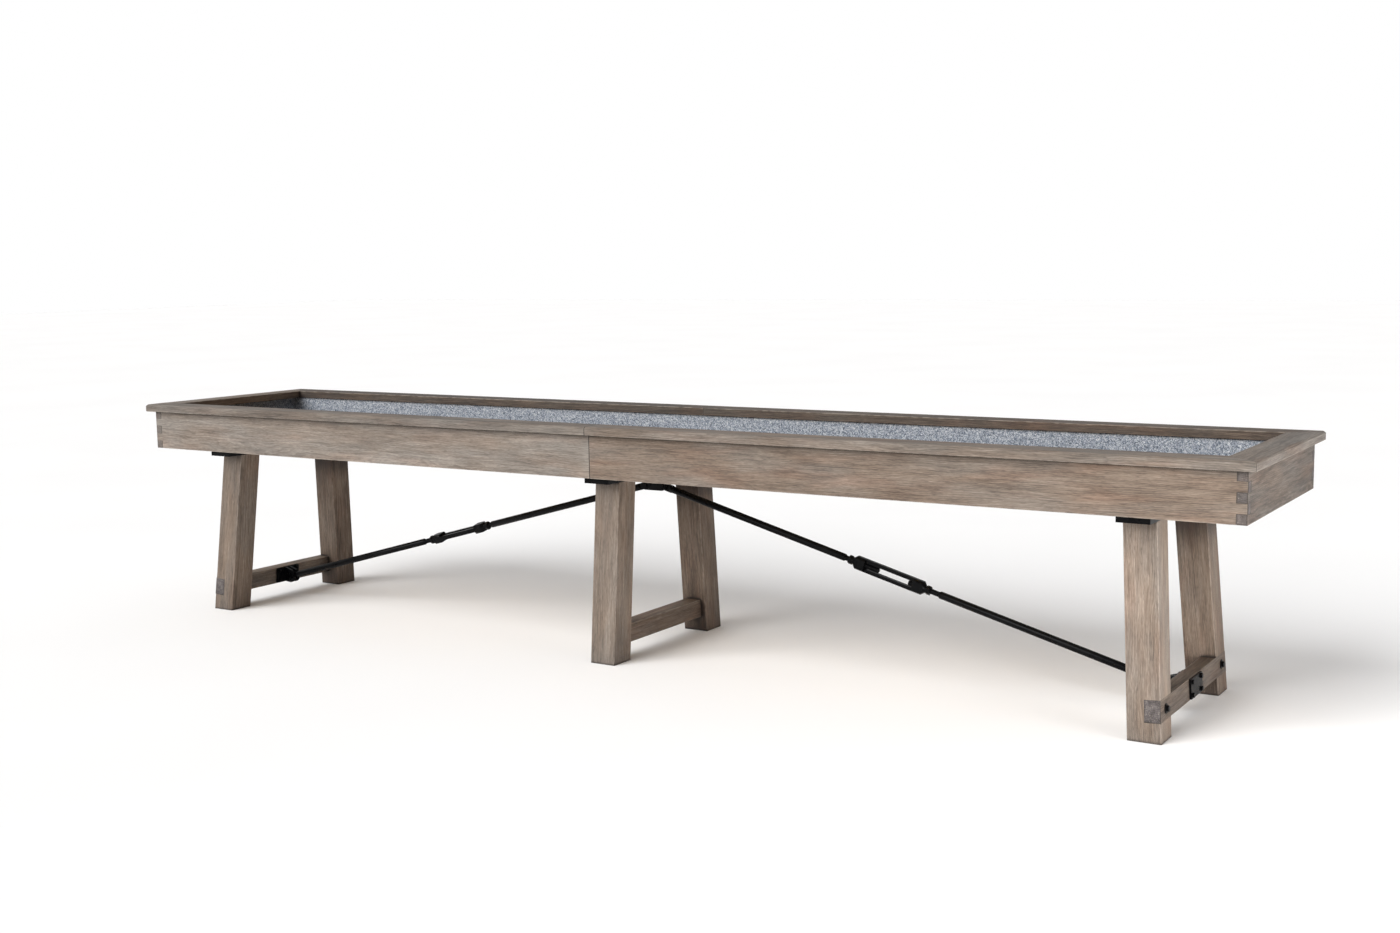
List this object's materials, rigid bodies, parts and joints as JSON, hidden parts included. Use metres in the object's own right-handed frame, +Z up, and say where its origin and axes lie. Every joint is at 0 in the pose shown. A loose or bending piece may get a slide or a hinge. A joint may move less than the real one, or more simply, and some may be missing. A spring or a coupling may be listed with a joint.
{
  "type": "shuffleboard table",
  "caption": "Long wooden shuffleboard table on splayed leg frames braced by tension rods with turnbuckles; carpet-lined gutters surround a flat playfield.",
  "frame": {"origin": "floor level under the centre of the table", "axes": "+X along the table towards its right end seen from the front, +Y towards the back, +Z up"},
  "size_m": [4.267, 0.826, 0.8056],
  "materials": {
    "aged_oak": "grey-brown weathered oak stain, open grain, matt",
    "maple_board": "laminated maple strips under a thick clear gloss coat",
    "cradle_ply": "plain unfinished timber and plywood",
    "grey_carpet": "short speckled needle-punch pile",
    "black_steel": "satin black powder coat",
    "zinc_steel": "zinc-plated",
    "leveler_pad": "moulded black nylon on a plated stud"
  },
  "bodies": {
    "table": {"apron_front_left": "aged_oak", "apron_front_right": "aged_oak", "apron_back_left": "aged_oak", "apron_back_right": "aged_oak", "apron_end_left": "aged_oak", "apron_end_right": "aged_oak", "cap_front_left": "aged_oak", "cap_front_right": "aged_oak", "cap_back_left": "aged_oak", "cap_back_right": "aged_oak", "cap_end_left": "aged_oak", "cap_end_right": "aged_oak", "playfield": "maple_board", "playfield_blocks": "cradle_ply", "cross_joists": "cradle_ply", "gutter_boards_left": "cradle_ply", "gutter_boards_right": "cradle_ply", "carpet_left": "grey_carpet", "carpet_right": "grey_carpet", "leg_front_left": "aged_oak", "leg_back_left": "aged_oak", "leg_front_middle": "aged_oak", "leg_back_middle": "aged_oak", "leg_front_right": "aged_oak", "leg_back_right": "aged_oak", "stretcher_left": "aged_oak", "stretcher_middle": "aged_oak", "stretcher_right": "aged_oak", "leg_plate_left": "black_steel", "leg_plate_middle": "black_steel", "leg_plate_right": "black_steel", "leveler_inserts": "zinc_steel", "centre_bracket": "black_steel", "clevis_left": "black_steel", "clevis_right": "black_steel", "back_plate_left": "black_steel", "back_plate_right": "black_steel", "clevis_pins": "black_steel", "rod_upper_left": "black_steel", "rod_lower_left": "black_steel", "rod_upper_right": "black_steel", "rod_lower_right": "black_steel", "jam_nuts": "black_steel", "adjuster_brackets": "black_steel", "lap_bolts": "black_steel", "bracket_bolts": "black_steel", "lag_screws": "zinc_steel", "cabinet_bolts": "zinc_steel"},
    "leveler_front_left": {"leveler_front_left": "leveler_pad"},
    "leveler_back_left": {"leveler_back_left": "leveler_pad"},
    "leveler_front_middle": {"leveler_front_middle": "leveler_pad"},
    "leveler_back_middle": {"leveler_back_middle": "leveler_pad"},
    "leveler_front_right": {"leveler_front_right": "leveler_pad"},
    "leveler_back_right": {"leveler_back_right": "leveler_pad"},
    "turnbuckle_left": {"turnbuckle_left": "black_steel"},
    "turnbuckle_right": {"turnbuckle_right": "black_steel"},
    "adjuster_screw_1": {"adjuster_screw_1": "zinc_steel"},
    "adjuster_screw_2": {"adjuster_screw_2": "zinc_steel"},
    "adjuster_screw_3": {"adjuster_screw_3": "zinc_steel"},
    "adjuster_screw_4": {"adjuster_screw_4": "zinc_steel"}
  },
  "joints": [
    {"name": "turnbuckle_left_turn", "type": "hinge", "parent": "table", "child": "turnbuckle_left", "pos_m": [-0.896, 0, 0.32693], "axis": [0.9648, 0, 0.2631], "range_deg": [-180, 180]},
    {"name": "turnbuckle_right_turn", "type": "hinge", "parent": "table", "child": "turnbuckle_right", "pos_m": [0.896, 0, 0.32693], "axis": [-0.9648, 0, 0.2631], "range_deg": [-180, 180]},
    {"name": "leveler_front_left_extend", "type": "slide", "parent": "table", "child": "leveler_front_left", "axis": [0, 0, -1], "range_m": [0, 0.02]},
    {"name": "leveler_back_left_extend", "type": "slide", "parent": "table", "child": "leveler_back_left", "axis": [0, 0, -1], "range_m": [0, 0.02]},
    {"name": "leveler_front_middle_extend", "type": "slide", "parent": "table", "child": "leveler_front_middle", "axis": [0, 0, -1], "range_m": [0, 0.02]},
    {"name": "leveler_back_middle_extend", "type": "slide", "parent": "table", "child": "leveler_back_middle", "axis": [0, 0, -1], "range_m": [0, 0.02]},
    {"name": "leveler_front_right_extend", "type": "slide", "parent": "table", "child": "leveler_front_right", "axis": [0, 0, -1], "range_m": [0, 0.02]},
    {"name": "leveler_back_right_extend", "type": "slide", "parent": "table", "child": "leveler_back_right", "axis": [0, 0, -1], "range_m": [0, 0.02]},
    {"name": "adjuster_screw_1_turn", "type": "hinge", "parent": "table", "child": "adjuster_screw_1", "pos_m": [-1.5, 0, 0.659], "axis": [0, 1, 0], "range_deg": [-180, 180]},
    {"name": "adjuster_screw_2_turn", "type": "hinge", "parent": "table", "child": "adjuster_screw_2", "pos_m": [-0.3, 0, 0.659], "axis": [0, 1, 0], "range_deg": [-180, 180]},
    {"name": "adjuster_screw_3_turn", "type": "hinge", "parent": "table", "child": "adjuster_screw_3", "pos_m": [0.3, 0, 0.659], "axis": [0, 1, 0], "range_deg": [-180, 180]},
    {"name": "adjuster_screw_4_turn", "type": "hinge", "parent": "table", "child": "adjuster_screw_4", "pos_m": [1.5, 0, 0.659], "axis": [0, 1, 0], "range_deg": [-180, 180]}
  ]
}
